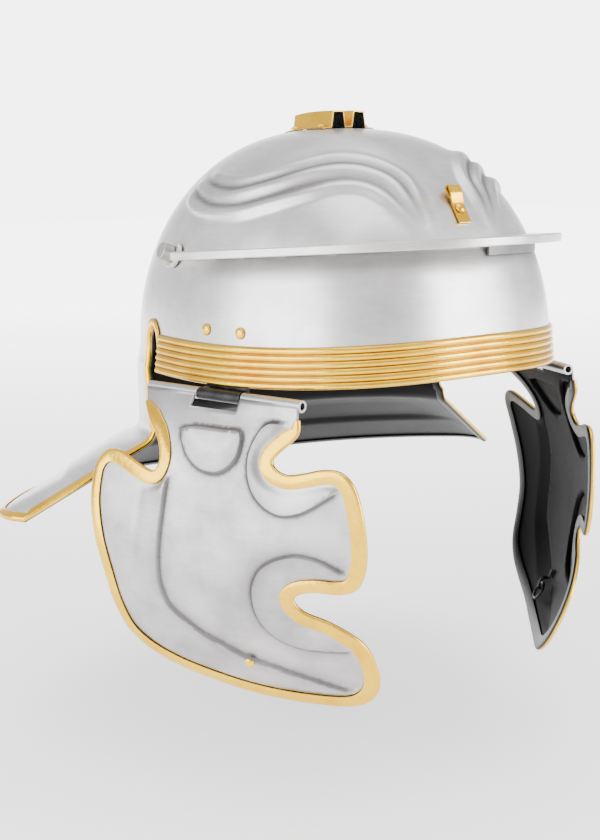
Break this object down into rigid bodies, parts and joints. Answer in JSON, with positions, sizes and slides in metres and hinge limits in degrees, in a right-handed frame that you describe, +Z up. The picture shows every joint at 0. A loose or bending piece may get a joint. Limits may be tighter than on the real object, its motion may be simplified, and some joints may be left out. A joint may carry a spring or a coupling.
{
  "type": "roman legionary helmet",
  "caption": "Roman legionary helmet in satin steel and brass, with raised eyebrows, a brow peak, a wide sloping neck guard and hinged cheek guards.",
  "frame": {"origin": "inside of the crown, where a head carries the helmet", "axes": "-Y is the front, +X the wearer's left, +Z up"},
  "size_m": [0.3438, 0.3148, 0.2921],
  "materials": {
    "satin_steel": "satin",
    "ground_steel": "ground",
    "dark_steel": "blackened",
    "brass": "polished"
  },
  "bodies": {
    "helmet": {"bowl": "satin_steel", "bowl_edging": "brass", "brow_band": "brass", "crest_holder": "brass", "crest_rivet_1": "brass", "crest_rivet_2": "brass", "crest_rivet_3": "brass", "crest_rivet_4": "brass", "front_hook": "brass", "front_hook_rivet": "brass", "hinge_leaf_left": "dark_steel", "hinge_leaf_right": "dark_steel", "hinge_pin_left": "dark_steel", "hinge_pin_right": "dark_steel", "leaf_rivet_left_1": "brass", "leaf_rivet_left_2": "brass", "leaf_rivet_right_1": "brass", "leaf_rivet_right_2": "brass", "peak": "ground_steel", "peak_stud_left": "ground_steel", "peak_stud_right": "ground_steel", "peak_tab": "satin_steel"},
    "right_cheek_guard": {"cheek_guard_right": "satin_steel", "cheek_edging_right": "brass", "tie_rivet_right": "brass", "tie_strap_right": "brass", "tie_ring_right": "dark_steel"},
    "left_cheek_guard": {"cheek_guard_left": "satin_steel", "cheek_edging_left": "brass", "tie_rivet_left": "brass", "tie_strap_left": "brass", "tie_ring_left": "dark_steel"}
  },
  "joints": [
    {"name": "right_cheek_hinge", "type": "hinge", "parent": "helmet", "child": "right_cheek_guard", "pos_m": [-0.10236, -0.04139, -0.1277], "axis": [-0.274, 0.9617, 0], "range_deg": [-15, 100]},
    {"name": "left_cheek_hinge", "type": "hinge", "parent": "helmet", "child": "left_cheek_guard", "pos_m": [0.10236, -0.04139, -0.1277], "axis": [-0.274, -0.9617, 0], "range_deg": [-15, 100]}
  ]
}
